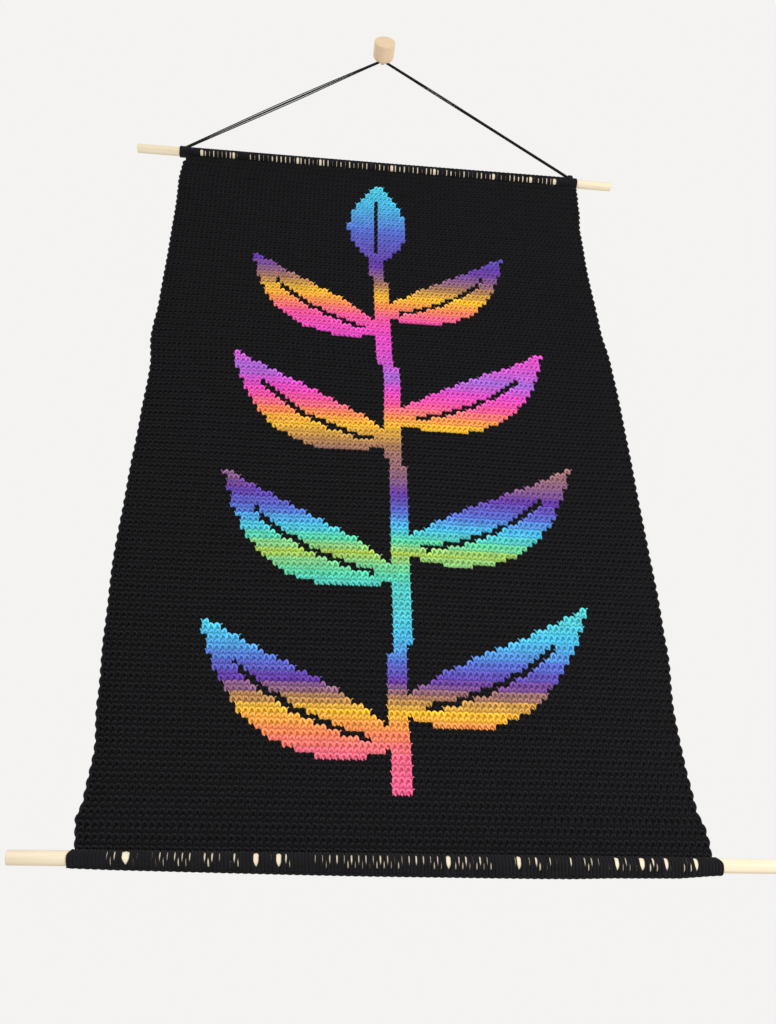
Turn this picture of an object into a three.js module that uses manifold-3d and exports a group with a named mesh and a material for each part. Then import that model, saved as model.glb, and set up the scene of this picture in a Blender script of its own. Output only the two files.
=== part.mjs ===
// Crochet wall hanging: a black crochet panel worked round a dowel at its top and its bottom,
// hung by a bundle of four yarn strands over a turned wooden wall peg.
//
// Frame, in millimetres: +X to the right of someone who faces the wall, +Y into the wall, +Z up.
// The wall is the plane y = 0, and the origin is the middle of the peg's flat back end.

import * as THREE from "three";
import { mergeVertices } from "three/addons/utils/BufferGeometryUtils.js";
import Module from "manifold-3d";

const wasm = await Module();
wasm.setup();

// Driving dimensions
const CLEARANCE = 0.3; // between pieces that touch
const ROUND_SIDES = 28;

const PANEL_WIDTH = 500; // from end to end of the two wrapped rows
const PANEL_X = -7.2; // middle of the panel, to the left of the peg
const CLOTH_Y = -10; // middle of the cloth and of both dowels, in front of the wall

const ROD_DIAMETER = 11;
const ROD_LENGTH = 596;
const ROD_CHAMFER = 0.7;
const TOP_ROD = { x: PANEL_X - 3, z: -257.4 };
const BOTTOM_ROD = { x: PANEL_X + 5.5, z: -1123.5 };

const YARN_WRAP = 0.9; // yarn drawn tight on a dowel, measured out from the dowel
const CLOTH_THICKNESS = 2.6;
const RIBS = 89; // two rows of stitches make one rib

const PEG_LENGTH = 33.2;
const PEG_PIN = { radius: 2.5, length: 3.8 }; // length is from the wall, as below
const PEG_NECK = { radius: 6, length: 6.6 };
const PEG_SHOULDER = { start: 9.8, radius: 4.7, length: 6.5, step: 0.7 };
const PEG_RIM_ROUND = 1.4;

const STRAND_DIAMETER = 1.3;
const STRAND_SIDES = 8;
const STRAND_STEPS_PER_SPAN = 2;

const TIE_LENGTH = 9.6;
const TIE_TURNS = 4;
const TIE_RELIEF = { valley: -0.2, crest: 0.3 }; // out from the wrapped row
const KNOT_RADIUS = 2.6;

const bore = ROD_DIAMETER / 2 + CLEARANCE;
const wrapRadius = bore + YARN_WRAP;
const KNOT_HEIGHT = wrapRadius - 0.3; // middle of a knot above the middle of the dowel

// Materials, one for each kind of piece
const yarnBlack = () =>
  new THREE.MeshStandardMaterial({ color: 0x1b1a1d, roughness: 0.95 });
const paleWood = () =>
  new THREE.MeshStandardMaterial({ color: 0xead7b5, roughness: 0.6 });

function named(name, geometry, material) {
  const mesh = new THREE.Mesh(geometry, material);
  mesh.name = name;
  return mesh;
}

// A closed geometry as a solid that can be joined and cut, and back again.
function solidOf(geometry) {
  const bare = geometry.clone();
  bare.deleteAttribute("normal");
  bare.deleteAttribute("uv");
  const merged = mergeVertices(bare, 1e-4);
  return new wasm.Manifold(
    new wasm.Mesh({
      numProp: 3,
      vertProperties: new Float32Array(merged.attributes.position.array),
      triVerts: new Uint32Array(merged.index.array),
    }),
  );
}

function geometryOf(solid) {
  const mesh = solid.getMesh();
  const geometry = new THREE.BufferGeometry();
  geometry.setAttribute(
    "position",
    new THREE.BufferAttribute(mesh.vertProperties, 3),
  );
  geometry.setIndex(new THREE.BufferAttribute(mesh.triVerts, 1));
  geometry.computeVertexNormals();
  return geometry;
}

// A lathe profile of [radius, height] points, turned about X with its height along +X.
function turnedAlongX(profile, sides = ROUND_SIDES) {
  const points = profile.map(([radius, height]) => new THREE.Vector2(radius, height));
  return new THREE.LatheGeometry(points, sides).rotateZ(-Math.PI / 2);
}

// Dowels: plain round rods with a small chamfer at both ends
function dowel(name, place) {
  const radius = ROD_DIAMETER / 2;
  const half = ROD_LENGTH / 2;
  const rod = turnedAlongX([
    [0, -half],
    [radius - ROD_CHAMFER, -half],
    [radius, -half + ROD_CHAMFER],
    [radius, half - ROD_CHAMFER],
    [radius - ROD_CHAMFER, half],
    [0, half],
  ]);
  const mesh = named(name, rod, paleWood());
  mesh.position.set(place.x, CLOTH_Y, place.z);
  return mesh;
}

// Panel: the outline of the hanging cloth. height is above the bottom dowel, left and right are
// the side edges from the middle of the panel, as uneven as the cloth hangs.
const OUTLINE = [
  { height: 6.0, left: -246.0, right: 243.5 },
  { height: 18, left: -247.5, right: 244.0 },
  { height: 29, left: -248.8, right: 243.2 },
  { height: 44, left: -245.3, right: 239.1 },
  { height: 85, left: -243.0, right: 237.2 },
  { height: 125, left: -246.5, right: 237.0 },
  { height: 195, left: -250.0, right: 242.8 },
  { height: 260, left: -252.0, right: 244.8 },
  { height: 350, left: -250.3, right: 245.2 },
  { height: 430, left: -248.3, right: 246.2 },
  { height: 500, left: -246.4, right: 247.2 },
  { height: 545, left: -250.2, right: 246.6 },
  { height: 600, left: -247.4, right: 242.6 },
  { height: 690, left: -246.2, right: 240.8 },
  { height: 765, left: -245.6, right: 242.4 },
  { height: 815, left: -246.8, right: 247.0 },
  { height: 842, left: -245.2, right: 249.0 },
  { height: 853, left: -242.4, right: 249.5 },
  { height: 856, left: -241.2, right: 248.5 },
  { height: 857, left: -240.4, right: 241.5 },
  { height: 860, left: -239.8, right: 239.8 },
];

function edgeAt(height, side) {
  const last = OUTLINE.length - 2;
  const found = OUTLINE.findIndex((row) => row.height > height) - 1;
  const k = found < -1 ? last : Math.min(Math.max(found, 0), last);
  const [low, high] = [OUTLINE[k], OUTLINE[k + 1]];
  const t = (height - low.height) / (high.height - low.height);
  const eased = t * t * (3 - 2 * t);
  return THREE.MathUtils.lerp(low[side], high[side], eased);
}

// The slow unevenness of the cloth, out of its plane: waves across and up it, each of a few
// tenths of a millimetre to two millimetres, that die out at the two straight dowels.
const WAVES = [
  { size: 1.5, across: 1.0, up: 0.7, phase: 0.4 },
  { size: 0.8, across: 2.0, up: -1.6, phase: 1.9 },
  { size: 0.6, across: 0.6, up: 3.1, phase: 4.2 },
];

function wave(across, up) {
  const held = Math.sin(Math.PI * up);
  const turn = 2 * Math.PI;
  return WAVES.reduce(
    (sum, w) =>
      sum + w.size * held * Math.sin(turn * (w.across * across + w.up * up) + w.phase),
    0,
  );
}

// One rib has three lines: the groove under it, and the lower and upper edge of its round back.
// part is the place in the rib, front and back are the relief of each face, side draws in the edge.
const RIB_LINES = [
  { part: 0, front: -0.75, back: 0.45, side: 0.9 },
  { part: 0.3, front: 0.45, back: 0.1, side: 0 },
  { part: 0.7, front: 0.45, back: -0.45, side: 0 },
];

// Columns of points across the cloth, as shares of its width: two thin ones round the edges.
const COLUMNS = [0, 0.006, 0.25, 0.5, 0.75, 0.994, 1];
const EDGE_THINNING = 0.6;

function clothSheet() {
  const lines = RIBS * RIB_LINES.length;
  const columns = COLUMNS.length - 1;
  const low = OUTLINE[0].height;
  const high = OUTLINE[OUTLINE.length - 1].height;
  const ribPitch = (high - low) / RIBS;
  const sheet = new THREE.BoxGeometry(1, 1, 1, columns, 1, lines);
  const at = sheet.attributes.position;
  for (let i = 0; i < at.count; i++) {
    const column = Math.round((at.getX(i) + 0.5) * columns);
    const line = Math.round((at.getZ(i) + 0.5) * lines);
    const isFront = at.getY(i) < 0;
    const isEdge = column === 0 || column === columns;
    const rib = RIB_LINES[line % RIB_LINES.length];
    const height = low + (Math.floor(line / RIB_LINES.length) + rib.part) * ribPitch;
    const across = COLUMNS[column];
    const left = edgeAt(height, "left") + rib.side;
    const right = edgeAt(height, "right") - rib.side;
    const relief = isEdge ? 0 : isFront ? rib.front : rib.back;
    const half = (CLOTH_THICKNESS / 2) * (isEdge ? EDGE_THINNING : 1) + relief;
    const up = (height - low) / (high - low);
    const middle = CLOTH_Y + wave(across, up);
    at.setXYZ(
      i,
      PANEL_X + THREE.MathUtils.lerp(left, right, across),
      middle + (isFront ? -half : half),
      BOTTOM_ROD.z + height,
    );
  }
  return solidOf(sheet);
}

// A wrapped row is a tube of yarn round its dowel. from and to are its ends, from the middle
// of the panel.
function cylinderAlongX(radius, from, to, z, sides = ROUND_SIDES) {
  const rod = new THREE.CylinderGeometry(radius, radius, to - from, sides);
  rod.rotateZ(Math.PI / 2).translate(PANEL_X + (from + to) / 2, CLOTH_Y, z);
  return solidOf(rod);
}

// Gaps between the wrapped stitches where the wood shows. x is from the middle of the panel.
// They run round the front of the dowel between two angles, up from the straight-out line.
const OVERCUT = 2; // how far a cutter runs past the yarn, in and out
const GAP_ANGLES = { top: { from: -70, to: 4 }, bottom: { from: -66, to: 24 } };
const GAPS = {
  top: [
    { x: -223.2, width: 3.6 },
    { x: -184.3, width: 3.0 },
    { x: -105.6, width: 3.2 },
    { x: -77.6, width: 3.0 },
    { x: 11.8, width: 3.6 },
    { x: 65.8, width: 3.4 },
    { x: 141.4, width: 3.4 },
    { x: 189.4, width: 3.8 },
    { x: 220.4, width: 4.3 },
  ],
  bottom: [
    { x: -207.2, width: 5.4 },
    { x: -112.4, width: 3.9 },
    { x: -95.6, width: 3.8 },
    { x: 32.1, width: 3.6 },
    { x: 86.5, width: 3.2 },
    { x: 163.4, width: 3.2 },
    { x: 183.4, width: 4.0 },
    { x: 202.8, width: 3.0 },
    { x: 226.8, width: 3.1 },
  ],
};

function gapCutter({ x, width }, { from, to }, z) {
  const { cos, sin } = Math;
  const reach = wrapRadius + OVERCUT;
  const start = bore - OVERCUT;
  const corners = [start, reach].map((radius) =>
    [from, (from + to) / 2, to].map((angle) => {
      const a = THREE.MathUtils.degToRad(angle);
      return new THREE.Vector2(-radius * cos(a), radius * sin(a));
    }),
  );
  const outline = new THREE.Shape([...corners[0], ...corners[1].reverse()]);
  const wedge = new THREE.ExtrudeGeometry(outline, {
    depth: width,
    bevelEnabled: false,
  });
  // The outline is drawn with Y across and Z up, and is pushed along X.
  const [x3, y3, z3] = [[1, 0, 0], [0, 1, 0], [0, 0, 1]].map((v) => new THREE.Vector3(...v));
  wedge.applyMatrix4(new THREE.Matrix4().makeBasis(y3, z3, x3));
  wedge.translate(PANEL_X + x - width / 2, CLOTH_Y, z);
  return solidOf(wedge);
}

function panel() {
  const half = PANEL_WIDTH / 2;
  const innerHalf = half - TIE_LENGTH - CLEARANCE;
  const wraps = [
    { z: TOP_ROD.z, half: innerHalf, gaps: GAPS.top, angles: GAP_ANGLES.top },
    { z: BOTTOM_ROD.z, half, gaps: GAPS.bottom, angles: GAP_ANGLES.bottom },
  ];
  let cloth = clothSheet();
  for (const w of wraps) {
    cloth = cloth.add(cylinderAlongX(wrapRadius, -w.half, w.half, w.z));
  }
  for (const w of wraps) {
    cloth = cloth.subtract(cylinderAlongX(bore, -ROD_LENGTH, ROD_LENGTH, w.z));
    for (const gap of w.gaps) cloth = cloth.subtract(gapCutter(gap, w.angles, w.z));
  }
  return named("panel", geometryOf(cloth), yarnBlack());
}

// Ties: the cord's end wound in close turns round the dowel beside the panel, with its knot on
// top. outward is -1 at the left end and 1 at the right end.
function tie(name, outward) {
  const valley = wrapRadius + TIE_RELIEF.valley;
  const crest = wrapRadius + TIE_RELIEF.crest;
  const turn = TIE_LENGTH / TIE_TURNS;
  const inside = bore - CLEARANCE; // cut back to the bore at the end
  const profile = [[inside, 0]];
  for (let k = 0; k < TIE_TURNS; k++) {
    profile.push([valley, k * turn]);
    profile.push([crest, (k + 0.3) * turn]);
    profile.push([crest, (k + 0.7) * turn]);
  }
  profile.push([valley, TIE_LENGTH], [inside, TIE_LENGTH], [inside, 0]);
  const wound = turnedAlongX(profile, 20).translate(-TIE_LENGTH / 2, 0, 0);
  const knot = new THREE.SphereGeometry(KNOT_RADIUS, 10, 8).translate(0, 0, KNOT_HEIGHT);
  const hole = new THREE.CylinderGeometry(bore, bore, 2 * TIE_LENGTH, ROUND_SIDES);
  hole.rotateZ(Math.PI / 2);
  const solid = solidOf(wound).add(solidOf(knot)).subtract(solidOf(hole));
  const mesh = named(name, geometryOf(solid), yarnBlack());
  const middle = outward * (PANEL_WIDTH / 2 - TIE_LENGTH / 2);
  mesh.position.set(PANEL_X + middle, CLOTH_Y, TOP_ROD.z);
  return mesh;
}

// Hanging cord: the middle of the bundle of strands, from the left tie over the peg's pin to
// the right tie. x, y, z are its points, across and depth are how far apart its strands lie
// side by side in the plane of the cloth and out of it.
const CORD_ROUTE = [
  { x: -250.9, y: -10.0, z: -248.4, across: 1.65, depth: 1.65 },
  { x: -238.4, y: -9.7, z: -235.7, across: 1.75, depth: 1.65 },
  { x: -214.0, y: -9.0, z: -210.8, across: 2.4, depth: 1.9 },
  { x: -177.3, y: -7.9, z: -173.5, across: 3.7, depth: 2.2 },
  { x: -140.7, y: -6.7, z: -136.2, across: 4.3, depth: 2.4 },
  { x: -104.0, y: -5.4, z: -99.0, across: 4.1, depth: 2.3 },
  { x: -67.4, y: -4.2, z: -61.8, across: 3.1, depth: 2 },
  { x: -35.6, y: -3.1, z: -29.7, across: 2.1, depth: 1.7 },
  { x: -16.0, y: -2.4, z: -10.1, across: 1.65, depth: 1.65 },
  { x: -8.0, y: -2.05, z: -2.0, across: 1.65, depth: 1.65 },
  { x: -3.05, y: -1.95, z: 3.05, across: 1.65, depth: 1.65 },
  { x: -1.6, y: -1.95, z: 4.0, across: 1.65, depth: 1.65 },
  { x: 0.0, y: -1.95, z: 4.3, across: 1.65, depth: 1.65 },
  { x: 1.7, y: -1.95, z: 3.95, across: 1.65, depth: 1.65 },
  { x: 3.15, y: -1.95, z: 2.95, across: 1.65, depth: 1.65 },
  { x: 8.2, y: -2.05, z: -2.5, across: 1.65, depth: 1.65 },
  { x: 15.6, y: -2.4, z: -10.5, across: 1.65, depth: 1.65 },
  { x: 34.0, y: -3.0, z: -30.1, across: 1.9, depth: 1.65 },
  { x: 70.8, y: -4.3, z: -69.6, across: 2.3, depth: 1.7 },
  { x: 109.9, y: -5.6, z: -111.6, across: 2.1, depth: 1.65 },
  { x: 148.9, y: -7.0, z: -153.7, across: 1.7, depth: 1.65 },
  { x: 190.3, y: -8.4, z: -198.3, across: 1.65, depth: 1.65 },
  { x: 222.5, y: -9.6, z: -233.1, across: 1.65, depth: 1.65 },
  { x: 236.5, y: -10.0, z: -248.4, across: 1.65, depth: 1.65 },
];

// The place of each strand in the bundle, in strand spacings: across the cord, and in depth.
const STRANDS = [
  { across: -0.5, depth: -0.5 },
  { across: 0.5, depth: -0.5 },
  { across: -0.5, depth: 0.5 },
  { across: 0.5, depth: 0.5 },
];

// A curve whose steps follow its own points, so that the tight bend gets as many as a long leg.
class StrandCurve extends THREE.CatmullRomCurve3 {
  getUtoTmapping(u) {
    return u;
  }
}

function strandPoint(strand, k) {
  const here = CORD_ROUTE[k];
  const flat = (row) => new THREE.Vector2(row.x, row.z);
  const before = flat(CORD_ROUTE[Math.max(k - 1, 0)]);
  const after = flat(CORD_ROUTE[Math.min(k + 1, CORD_ROUTE.length - 1)]);
  const arriving = flat(here).sub(before).normalize();
  const leaving = after.sub(flat(here)).normalize();
  const along = arriving.add(leaving).normalize();
  const side = strand.across * here.across;
  return new THREE.Vector3(
    here.x - along.y * side,
    here.y + strand.depth * here.depth,
    here.z + along.x * side,
  );
}

function cordStrand(name, strand) {
  const points = CORD_ROUTE.map((_, k) => strandPoint(strand, k));
  const path = new StrandCurve(points, false, "centripetal");
  const corner = (k) => {
    const angle = (2 * Math.PI * k) / STRAND_SIDES;
    const radius = STRAND_DIAMETER / 2;
    return new THREE.Vector2(radius * Math.cos(angle), radius * Math.sin(angle));
  };
  const section = new THREE.Shape([...Array(STRAND_SIDES).keys()].map(corner));
  const steps = (CORD_ROUTE.length - 1) * STRAND_STEPS_PER_SPAN;
  const tube = new THREE.ExtrudeGeometry(section, { steps, extrudePath: path });
  return named(name, tube, yarnBlack());
}

// Wall peg: a turned knob with a round shoulder and a short neck at its back, on a thin pin that
// holds it off the wall and carries the cord. Its profile runs out from the wall.
function wallPeg() {
  const quarter = (k, steps) => (k / steps) * (Math.PI / 2);
  const shoulder = PEG_SHOULDER;
  const back = PEG_NECK.length + shoulder.step;
  const rim = shoulder.start + shoulder.radius;
  const profile = [
    [0, 0],
    [PEG_PIN.radius, 0],
    [PEG_PIN.radius, PEG_PIN.length],
    [PEG_NECK.radius, PEG_PIN.length],
    [PEG_NECK.radius, PEG_NECK.length],
  ];
  for (let k = 0; k <= 5; k++) {
    const a = quarter(k, 5);
    const radius = shoulder.start + shoulder.radius * Math.sin(a);
    profile.push([radius, back + shoulder.length * (1 - Math.cos(a))]);
  }
  for (let k = 0; k <= 3; k++) {
    const a = quarter(k, 3);
    const radius = rim - PEG_RIM_ROUND * (1 - Math.cos(a));
    profile.push([radius, PEG_LENGTH - PEG_RIM_ROUND * (1 - Math.sin(a))]);
  }
  profile.push([0, PEG_LENGTH]);
  const points = profile.map(([radius, height]) => new THREE.Vector2(radius, height));
  const peg = new THREE.LatheGeometry(points, ROUND_SIDES).rotateX(Math.PI);
  return named("peg", peg, paleWood());
}

const hanging = new THREE.Group();
hanging.add(panel());
hanging.add(dowel("rod_top", TOP_ROD));
hanging.add(dowel("rod_bottom", BOTTOM_ROD));
hanging.add(tie("tie_left", -1));
hanging.add(tie("tie_right", 1));
STRANDS.forEach((strand, k) => hanging.add(cordStrand(`cord_strand_${k + 1}`, strand)));
hanging.add(wallPeg());

export default hanging;
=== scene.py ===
# %% [markdown]
# A crochet wall hanging, built stitch by stitch.
#
# The hanging is a black crochet panel with a rainbow design, worked round a thin dowel at its top
# and another at its bottom. A cord of four yarn strands is tied round the top dowel and runs over
# a turned wooden peg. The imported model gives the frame: its nodes have the true sizes, and every
# piece made here goes where its node is. All lengths in Blender are metres; the sizes below are
# written in millimetres, as a maker would measure them, and turned to metres where a mesh, a cord or
# a pattern is made.

# %% Load the frame
import math

import bpy
import numpy as np
from mathutils import Matrix, Vector


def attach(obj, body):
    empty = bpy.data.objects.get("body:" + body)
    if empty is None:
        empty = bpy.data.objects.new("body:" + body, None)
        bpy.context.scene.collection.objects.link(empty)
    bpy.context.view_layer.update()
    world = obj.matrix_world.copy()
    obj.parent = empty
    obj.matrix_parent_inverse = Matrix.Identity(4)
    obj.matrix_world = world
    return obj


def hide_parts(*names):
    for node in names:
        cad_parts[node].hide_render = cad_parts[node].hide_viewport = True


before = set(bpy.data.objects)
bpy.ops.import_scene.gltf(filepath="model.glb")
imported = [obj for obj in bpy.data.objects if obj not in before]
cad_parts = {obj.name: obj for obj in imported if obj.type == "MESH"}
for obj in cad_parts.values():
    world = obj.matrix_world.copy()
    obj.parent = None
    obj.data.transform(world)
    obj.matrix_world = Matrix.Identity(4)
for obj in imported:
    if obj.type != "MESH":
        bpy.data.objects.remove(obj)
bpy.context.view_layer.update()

MM = 0.001
print("nodes", sorted(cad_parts))

# %% [markdown]
# The sizes come first. X runs to the right along the wall, Y into the wall, Z up, and the origin
# is the middle of the peg's back end, where the peg meets the wall. These are the same values that
# the solids were made from, so that cloth, yarn and wood meet as they do there.

# %% Driving sizes, in millimetres
CLOTH_X = -7.2  # middle of the panel
CLOTH_Y = -10.0  # middle of the cloth and of both dowels
TOP_ROD = (-10.2, -257.4)  # x of its middle, z
BOTTOM_ROD = (-1.7, -1123.5)
ROD_RADIUS = 5.5
ROD_LENGTH = 596.0
WRAP_RADIUS = 6.7  # outside of the yarn that goes round a dowel
PANEL_HALF = 250.0
TIE_LENGTH = 9.6
STRAND_DIAMETER = 1.3

STITCHES = 92  # in one row
RIBS = 89  # two rows make one rib
ROWS = 2 * RIBS
CLOTH_LOW, CLOTH_HIGH = 6.0, 860.0  # above the middle of the bottom dowel
RIB = (CLOTH_HIGH - CLOTH_LOW) / RIBS
STITCH = 2 * PANEL_HALF / STITCHES
print(f"one stitch is {STITCH:.2f} mm wide, and a rib of two rows is {RIB:.2f} mm high")

# %% [markdown]
# The photograph looks up at the hanging from below and a little to the left, so the panel narrows
# towards its top. The camera stands where that view was taken from: its turn, its tilt and its
# small roll were worked out from the four corners of the panel, which is a flat rectangle.

# %% Camera
CAMERA_PLACE = (-0.1136, -0.7876, -1.3723)
CAMERA_TURN, CAMERA_TILT, CAMERA_ROLL = 7.407, 36.391, -1.705  # degrees
LENS_LENGTH, FILM_WIDTH = 36.2, 36.0  # mm
lens = bpy.data.cameras.new("camera")
lens.lens = LENS_LENGTH
lens.sensor_width = FILM_WIDTH
camera = bpy.data.objects.new("camera", lens)
camera.matrix_world = (
    Matrix.Translation(CAMERA_PLACE)
    @ Matrix.Rotation(math.radians(-CAMERA_TURN), 4, "Z")
    @ Matrix.Rotation(math.radians(90 + CAMERA_TILT), 4, "X")
    @ Matrix.Rotation(math.radians(CAMERA_ROLL), 4, "Z")
)
bpy.context.collection.objects.link(camera)
bpy.context.scene.camera = camera
print("camera at", CAMERA_PLACE)

# %% [markdown]
# Colours are picked as sRGB hex values, the way a yarn card or a paint chart gives them, and
# Blender works in linear light. One function turns the first into the second.

# %% Colour helper
def linear(code):
    """An sRGB hex colour as three linear numbers."""
    parts = [int(code[k : k + 2], 16) / 255 for k in (1, 3, 5)]
    return [p / 12.92 if p <= 0.04045 else ((p + 0.055) / 1.055) ** 2.4 for p in parts]


print("a pale wood in linear light", [round(v, 4) for v in linear("#e4d8bf")])

# %% [markdown]
# Every material is a small tree of nodes. One helper adds a node, sets its settings, and either
# sets a socket to a value or links it to another node, from its first output or a chosen one.

# %% Node helper
def new_material(name):
    material = bpy.data.materials.new(name)
    material.use_nodes = True
    tree = material.node_tree
    tree.nodes.clear()
    return material, tree


def add(tree, kind, sockets=None, **settings):
    """Adds a node. sockets maps an input's name or number to a value, a node or an output."""
    node = tree.nodes.new(kind)
    for key, value in settings.items():
        setattr(node, key, value)
    for key, value in (sockets or {}).items():
        if isinstance(value, bpy.types.Node):
            value = value.outputs[0]
        if isinstance(value, bpy.types.NodeSocket):
            tree.links.new(value, node.inputs[key])
        else:
            node.inputs[key].default_value = value
    return node


print("helpers ready")

# %% [markdown]
# Yarn is a bundle of fine fibres, spun into plies that are twisted round each other. Up close the
# plies show as slanted bands along the strand, and loose fibres give it a dull, slightly fuzzy
# edge. So the surface is rough, it has a little sheen, and its bump is a slanted wave that follows
# the strand, with fine noise on top. The wave reads a map that each strand carries: how far round
# it and how far along it a point is. The fibres themselves are about 0.02 mm, too fine to show,
# and are drawn as 0.35 mm fuzz.

# %% Yarn materials
PLIES = 2.0  # bands round the strand
PLY_SPACING = 1.7  # mm from one ply to the next along the strand
PLY_RELIEF = 0.35  # height of the plies where the fuzz has 1
FUZZ_SIZE = 0.35
MOTTLE_SIZE = 9.0  # slow unevenness of the dye


def yarn_material(name, colour=None, gloss=0.2, sheen=0.1):
    """Plied yarn. Without a colour it takes each strand's own dyed colour, which carries a painted
    highlight on some stitches.
    """
    material, tree = new_material(name)
    place = add(tree, "ShaderNodeTexCoord").outputs["Object"]
    strand_map = add(tree, "ShaderNodeUVMap", uv_map="strand")
    way = add(tree, "ShaderNodeSeparateXYZ", {0: strand_map})  # X is round the strand, Y along it
    twist = {0: way.outputs["X"], 1: PLIES, 2: way.outputs["Y"]}
    phase = add(tree, "ShaderNodeMath", twist, operation="MULTIPLY_ADD")
    angle = add(tree, "ShaderNodeMath", {0: phase, 1: 2 * math.pi}, operation="MULTIPLY")
    plies = add(tree, "ShaderNodeMath", {0: angle}, operation="SINE")
    fine = {"Vector": place, "Scale": 1 / (FUZZ_SIZE * MM), "Detail": 2.0}
    fuzz = add(tree, "ShaderNodeTexNoise", fine)
    height = add(tree, "ShaderNodeMath", {0: plies, 1: PLY_RELIEF, 2: fuzz}, operation="MULTIPLY_ADD")
    relief = {"Strength": 0.8, "Distance": 0.25 * MM, "Height": height}
    bump = add(tree, "ShaderNodeBump", relief)
    slow = {"Vector": place, "Scale": 1 / (MOTTLE_SIZE * MM), "Detail": 3.0}
    mottle = add(tree, "ShaderNodeTexNoise", slow)
    limits = {"From Min": 0.3, "From Max": 0.7, "To Min": 0.82, "To Max": 1.12}
    shade = add(tree, "ShaderNodeMapRange", {"Value": mottle, **limits})
    if colour is None:
        dye_with_any_painted_highlight = add(tree, "ShaderNodeAttribute", attribute_name="dye_and_painted_light")
    else:
        dye_with_any_painted_highlight = linear(colour)
    tint = add(tree, "ShaderNodeVectorMath", {0: dye_with_any_painted_highlight, 1: shade}, operation="MULTIPLY")
    finish = {"Base Color": tint, "Roughness": 0.88, "IOR": 1.5, "Specular IOR Level": gloss}
    fibres = {"Sheen Weight": sheen, "Sheen Roughness": 0.5, "Normal": bump}
    shader = add(tree, "ShaderNodeBsdfPrincipled", {**finish, **fibres})
    add(tree, "ShaderNodeOutputMaterial", {"Surface": shader})
    return material


black_yarn = yarn_material("black yarn", "#171619", gloss=0.08, sheen=0.03)
rainbow_yarn = yarn_material("rainbow yarn")
print("yarns:", black_yarn.name, "and", rainbow_yarn.name)

# %% [markdown]
# Every strand in the hanging is the same kind of shape: a tube that follows a line and may be a
# little flatter than round. Blender could make each one from a curve with a bevel, but there are
# tens of thousands of loops, so the tubes are worked out all at once with arrays and joined. A
# strand is a run of rings; each ring has a middle, a direction that faces out, a half width and a
# half thickness.

# %% Arrays to a mesh
def unit(v):
    return v / np.maximum(np.linalg.norm(v, axis=1, keepdims=True), 1e-12)


def array_mesh(name, points, corners, sizes, material):
    """A smooth mesh from points in mm, the corners of its faces, and how many each face has."""
    mesh = bpy.data.meshes.new(name)
    mesh.vertices.add(len(points))
    mesh.vertices.foreach_set("co", (points * MM).astype(np.float32).ravel())
    mesh.loops.add(len(corners))
    mesh.loops.foreach_set("vertex_index", corners.astype(np.int32))
    mesh.polygons.add(len(sizes))
    mesh.polygons.foreach_set("loop_start", (np.cumsum(sizes) - sizes).astype(np.int32))
    mesh.polygons.foreach_set("use_smooth", np.ones(len(sizes), bool))
    mesh.update(calc_edges=True)
    mesh.materials.append(material)
    return mesh


def store_dye(mesh, tones, domain):
    """Keeps a linear colour for each point or each corner, which the yarn's material reads: the dye,
    made darker for painted shade or lighter for a painted highlight in some places.
    """
    layer = mesh.color_attributes.new("dye_and_painted_light", "FLOAT_COLOR", domain)
    layer.data.foreach_set("color", np.c_[tones, np.ones(len(tones))].astype(np.float32).ravel())


print("arrays of points can become a mesh")

# %% Strands joined to one mesh
def one_strand(points, wide, thick=None, out=(0.0, -1.0, 0.0)):
    """A run of rings. It is round if thick isn't given, and faces the front if out isn't."""
    count = len(points)
    wide = np.broadcast_to(wide, count)
    thick = wide if thick is None else np.broadcast_to(thick, count)
    return {"points": points, "out": np.broadcast_to(out, (count, 3)), "wide": wide, "thick": thick}


def strand_mesh(name, strands, sides, material):
    """Tubes round a list of strands, closed at their ends."""
    keys = ("points", "out", "wide", "thick")
    points, out, wide, thick = (np.concatenate([s[key] for s in strands]) for key in keys)
    lengths = np.array([len(s["points"]) for s in strands])
    first = np.cumsum(lengths) - lengths
    last = first + lengths - 1
    count = len(points)
    before, after = np.arange(count) - 1, np.arange(count) + 1
    before[first], after[last] = first, last
    along = unit(points[after] - points[before])
    side = unit(np.cross(along, out))
    out = np.cross(side, along)
    angle = 2 * math.pi * np.arange(sides) / sides
    rings = (
        points[:, None]
        + wide[:, None, None] * np.cos(angle)[None, :, None] * side[:, None]
        + thick[:, None, None] * np.sin(angle)[None, :, None] * out[:, None]
    )
    ring = np.setdiff1d(np.arange(count), last)[:, None]
    k = np.arange(sides)
    here, ahead, step = ring * sides, (ring + 1) * sides, (k + 1) % sides
    quads = np.stack([here + k, ahead + k, ahead + step, here + step], -1).reshape(-1, 4)
    caps = np.concatenate([first[:, None] * sides + k, last[:, None] * sides + k[::-1]])
    corners = np.concatenate([quads.ravel(), caps.ravel()])
    sizes = np.concatenate([np.full(len(quads), 4), np.full(len(caps), sides)])
    mesh = array_mesh(name, rings.reshape(-1, 3), corners, sizes, material)

    # The map of each strand: how far round, and how far along in steps of one ply.
    steps = np.linalg.norm(points - points[before], axis=1)
    far = (np.cumsum(steps) - np.cumsum(steps)[np.repeat(first, lengths)]) / PLY_SPACING
    uv = np.zeros((len(corners), 2))
    uv[: quads.size, 0] = np.tile(np.stack([k, k, k + 1, k + 1], -1).ravel(), len(ring)) / sides
    uv[quads.size :, 0] = (caps.ravel() % sides) / sides
    uv[:, 1] = far[corners // sides]
    mesh.uv_layers.new(name="strand").uv.foreach_set("vector", uv.astype(np.float32).ravel())
    if "dye_and_painted_light" in strands[0]:
        store_dye(mesh, np.concatenate([s["dye_and_painted_light"] for s in strands]).repeat(sides, 0), "POINT")
    return mesh


print("a strand is a run of rings")

# %% Pieces of the hanging
made_triangles = {}


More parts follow.
